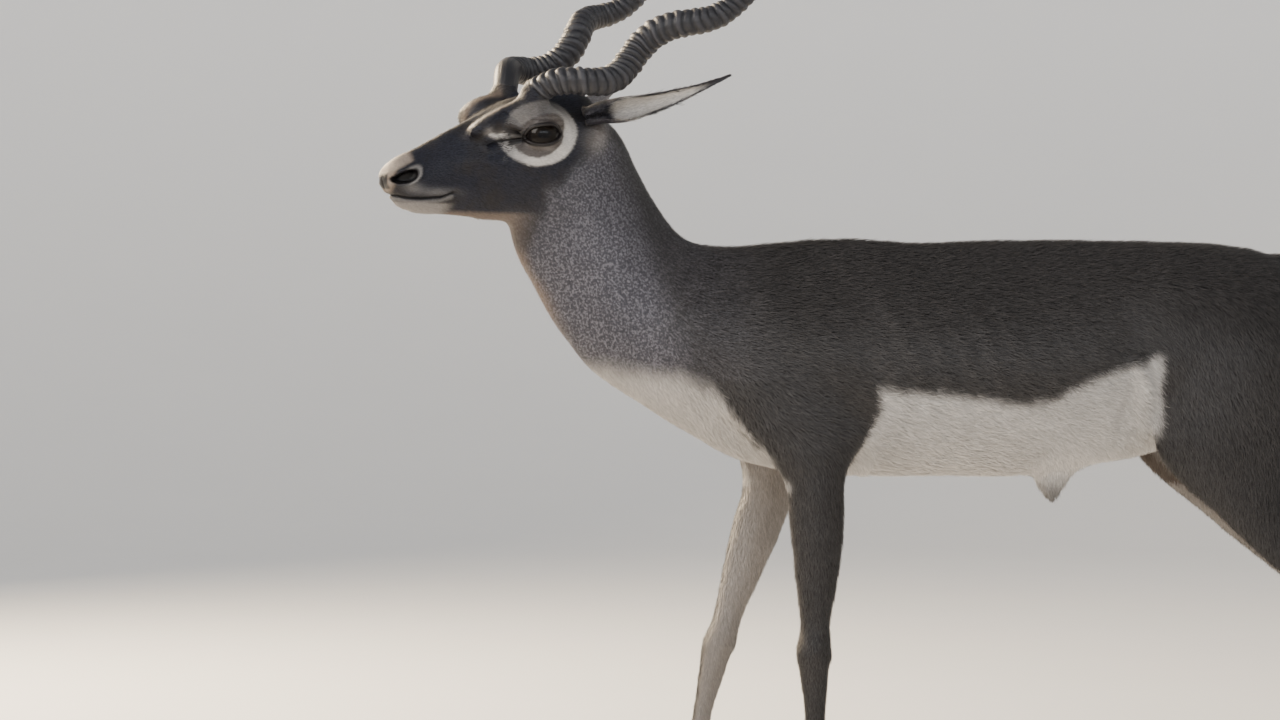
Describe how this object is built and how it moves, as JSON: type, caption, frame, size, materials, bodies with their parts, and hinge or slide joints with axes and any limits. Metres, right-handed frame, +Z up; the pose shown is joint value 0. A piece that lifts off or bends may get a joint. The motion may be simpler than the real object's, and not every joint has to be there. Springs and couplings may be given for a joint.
{
  "type": "blackbuck",
  "caption": "Life-size still model of a standing male blackbuck antelope with ringed spiral horns, dark coat and pale underside.",
  "frame": {"origin": "on the floor under the middle of the animal's overall box", "axes": "-X is the way the animal faces, +Y is towards its right side, +Z is up"},
  "size_m": [1.2594, 0.3894, 1.1931],
  "materials": {
    "coat_dark": "short, close, dark grey-brown hair",
    "coat_neck": "short grey-brown hair flecked with pale tips",
    "coat_pale": "short white to cream hair",
    "horn": "dull ringed horn, lighter on the ridges",
    "hoof": "dark satin hoof horn with growth lines",
    "eye": "wet, very dark brown eye"
  },
  "bodies": {
    "root": {"head": "coat_dark", "neck": "coat_neck", "torso": "coat_dark", "tail": "coat_dark", "ear_left": "coat_pale", "ear_right": "coat_pale", "eye_left": "eye", "eye_right": "eye", "horn_left": "horn", "horn_right": "horn", "upper_foreleg_left": "coat_dark", "upper_foreleg_right": "coat_dark", "lower_foreleg_left": "coat_dark", "lower_foreleg_right": "coat_dark", "upper_hindleg_left": "coat_dark", "upper_hindleg_right": "coat_dark", "lower_hindleg_left": "coat_dark", "lower_hindleg_right": "coat_dark", "fore_claw_inner_left": "hoof", "fore_claw_outer_left": "hoof", "fore_claw_inner_right": "hoof", "fore_claw_outer_right": "hoof", "hind_claw_inner_left": "hoof", "hind_claw_outer_left": "hoof", "hind_claw_inner_right": "hoof", "hind_claw_outer_right": "hoof"}
  },
  "joints": []
}
